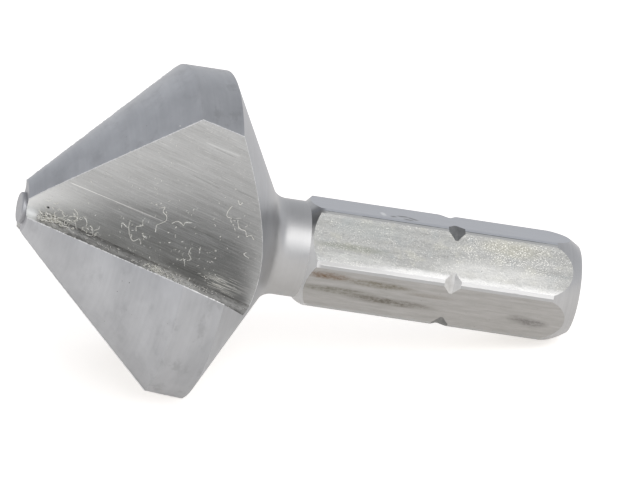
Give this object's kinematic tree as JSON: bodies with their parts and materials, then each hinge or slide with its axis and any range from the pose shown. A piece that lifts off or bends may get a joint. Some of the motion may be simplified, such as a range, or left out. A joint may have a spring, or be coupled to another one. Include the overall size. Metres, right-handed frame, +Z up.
{
  "type": "countersink bit",
  "caption": "Countersink bit of bare steel: a blunt cone with ground flutes and a straight land, a short neck and a hexagon drive shank with catch notches, lying on its side.",
  "frame": {"origin": "middle of the bounding box's underside, on the table the bit lies on", "axes": "+Z up. +X level, from the cutting end towards the shank end, in the upright plane that holds the bit's own axis. +Y completes a right-handed frame. The bit's own axis slopes 13.86 degrees down towards the shank end, along (0.970887, 0, -0.239538)."},
  "size_m": [0.035, 0.0204, 0.0192],
  "materials": {
    "tool_steel": "ground and turned bare steel, satin, used, with light rust stains on the shank"
  },
  "bodies": {
    "root": {"countersink_bit": "tool_steel"}
  },
  "joints": []
}
